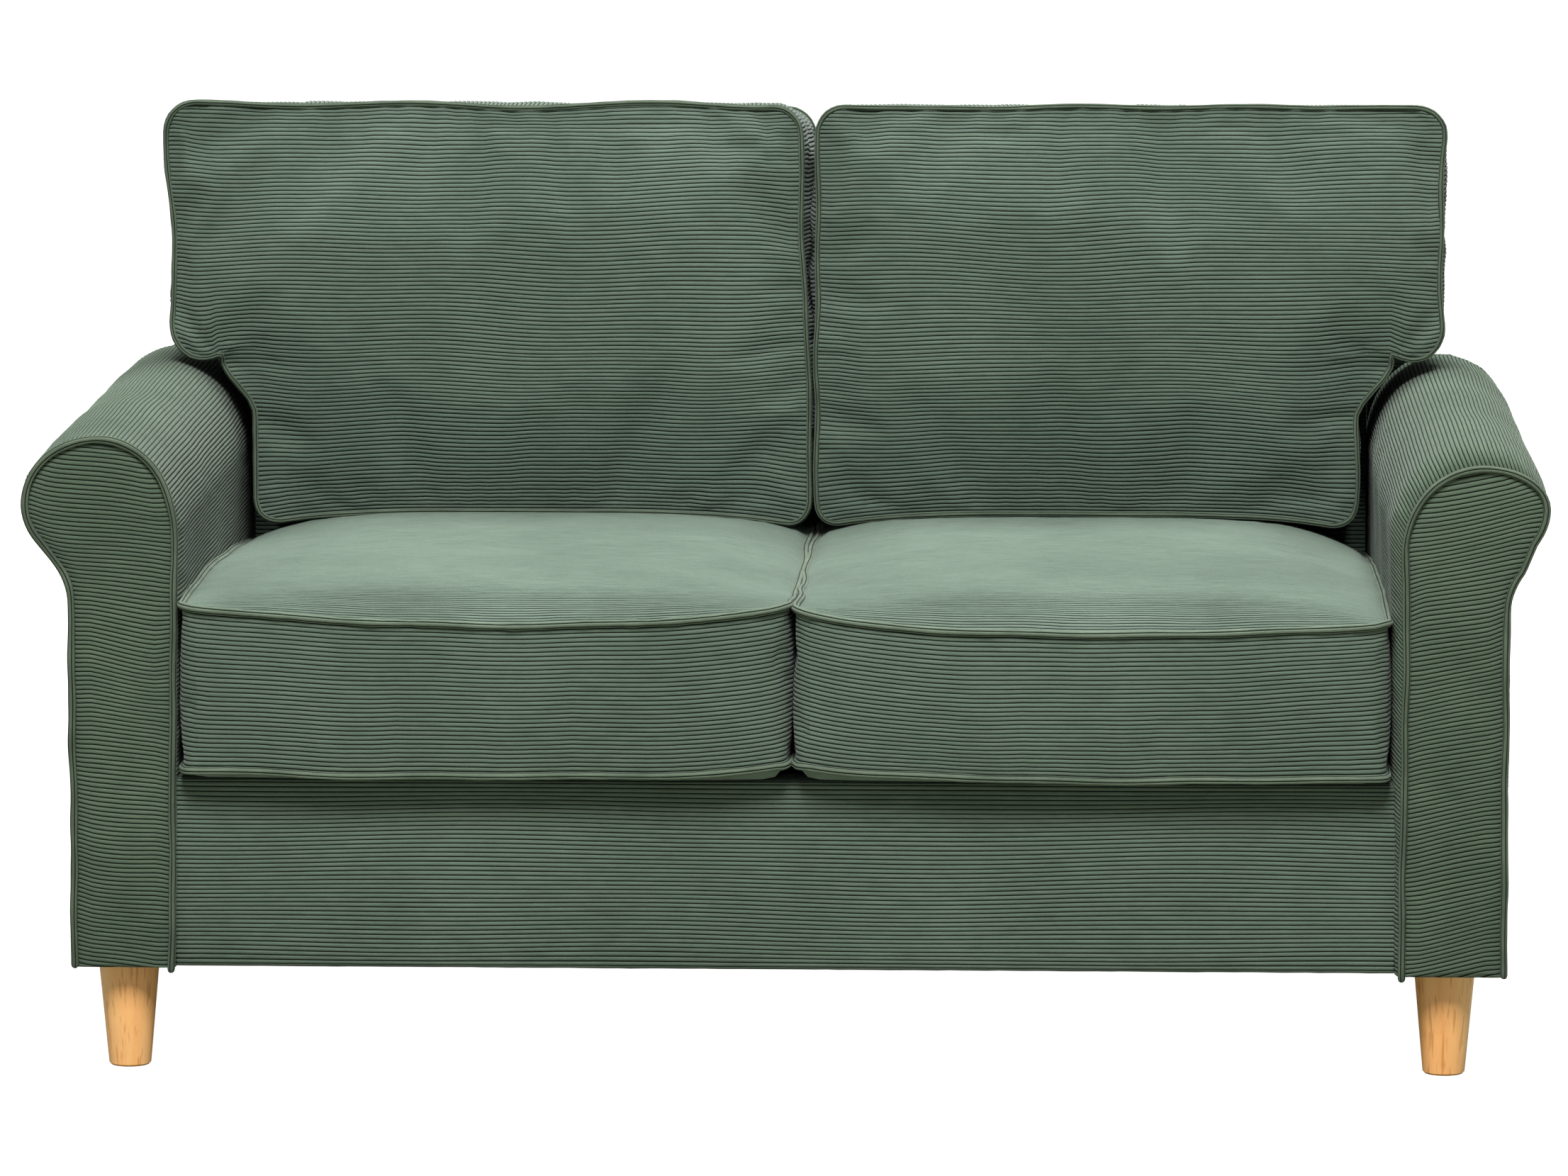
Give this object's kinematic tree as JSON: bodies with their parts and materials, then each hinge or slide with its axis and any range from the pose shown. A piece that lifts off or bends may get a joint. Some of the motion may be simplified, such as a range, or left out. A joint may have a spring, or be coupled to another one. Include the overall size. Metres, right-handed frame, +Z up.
{
  "type": "sofa",
  "caption": "Rolled-arm sofa with loose boxed seat cushions and T-shaped back cushions in ribbed corduroy, on short tapered wooden legs.",
  "frame": {"origin": "on the floor, under the middle of the sofa's bounding box", "axes": "+Z up; the sofa faces -Y; +X to the right seen from the front"},
  "size_m": [1.48, 0.85, 0.895],
  "materials": {
    "corduroy": "matte ribbed pile",
    "piping": "matte corded edge",
    "timber": "sawn",
    "fibreboard": "raw",
    "leg_wood": "satin lacquer",
    "foam": "open-cell foam and fibre",
    "lining": "non-woven, matte",
    "webbing": "woven jute",
    "steel": "zinc plated",
    "zip_tape": "woven tape and coil"
  },
  "bodies": {
    "frame": {"front_rail": "timber", "rear_rail": "timber", "side_rail_left": "timber", "side_rail_right": "timber", "centre_brace": "timber", "corner_blocks": "timber", "back_post_left": "timber", "back_post_right": "timber", "back_top_rail": "timber", "back_lower_rail": "timber", "seat_springs": "steel", "spring_clips": "steel", "arm_bolts": "steel", "leg_bolts": "steel", "leg_plates": "steel", "deck_cover": "lining", "dust_cover": "lining", "rail_cover": "corduroy", "inside_back_cover": "corduroy", "outside_back_cover": "corduroy", "back_webbing": "webbing", "back_padding": "foam", "arm_formers_left": "timber", "arm_rails_left": "timber", "arm_boards_left": "fibreboard", "arm_padding_left": "foam", "arm_cover_left": "corduroy", "arm_panel_left": "corduroy", "arm_piping_left": "piping", "leg_front_left": "leg_wood", "leg_rear_left": "leg_wood", "arm_formers_right": "timber", "arm_rails_right": "timber", "arm_boards_right": "fibreboard", "arm_padding_right": "foam", "arm_cover_right": "corduroy", "arm_panel_right": "corduroy", "arm_piping_right": "piping", "leg_front_right": "leg_wood", "leg_rear_right": "leg_wood"},
    "seat_cushion_left": {"seat_cover_left": "corduroy", "seat_core_left": "foam", "seat_piping_left": "piping", "seat_zip_left": "zip_tape"},
    "seat_zip_slider_left": {"seat_zip_slider_left": "steel"},
    "seat_cushion_right": {"seat_cover_right": "corduroy", "seat_core_right": "foam", "seat_piping_right": "piping", "seat_zip_right": "zip_tape"},
    "seat_zip_slider_right": {"seat_zip_slider_right": "steel"},
    "back_cushion_left": {"back_cover_left": "corduroy", "back_core_left": "foam", "back_piping_left": "piping", "back_zip_left": "zip_tape"},
    "back_zip_slider_left": {"back_zip_slider_left": "steel"},
    "back_cushion_right": {"back_cover_right": "corduroy", "back_core_right": "foam", "back_piping_right": "piping", "back_zip_right": "zip_tape"},
    "back_zip_slider_right": {"back_zip_slider_right": "steel"}
  },
  "joints": [
    {"name": "seat_cushion_left_slide", "type": "slide", "parent": "frame", "child": "seat_cushion_left", "axis": [0, -1, 0], "range_m": [0, 0.68]},
    {"name": "back_cushion_left_lift", "type": "slide", "parent": "frame", "child": "back_cushion_left", "axis": [0, 0, 1], "range_m": [0, 0.45]},
    {"name": "seat_zip_left_slide", "type": "slide", "parent": "seat_cushion_left", "child": "seat_zip_slider_left", "axis": [1, 0, 0], "range_m": [0, 0.44]},
    {"name": "back_zip_left_slide", "type": "slide", "parent": "back_cushion_left", "child": "back_zip_slider_left", "axis": [1, 0, 0], "range_m": [0, 0.42]},
    {"name": "seat_cushion_right_slide", "type": "slide", "parent": "frame", "child": "seat_cushion_right", "axis": [0, -1, 0], "range_m": [0, 0.68]},
    {"name": "back_cushion_right_lift", "type": "slide", "parent": "frame", "child": "back_cushion_right", "axis": [0, 0, 1], "range_m": [0, 0.45]},
    {"name": "seat_zip_right_slide", "type": "slide", "parent": "seat_cushion_right", "child": "seat_zip_slider_right", "axis": [1, 0, 0], "range_m": [0, 0.44]},
    {"name": "back_zip_right_slide", "type": "slide", "parent": "back_cushion_right", "child": "back_zip_slider_right", "axis": [1, 0, 0], "range_m": [0, 0.42]}
  ]
}
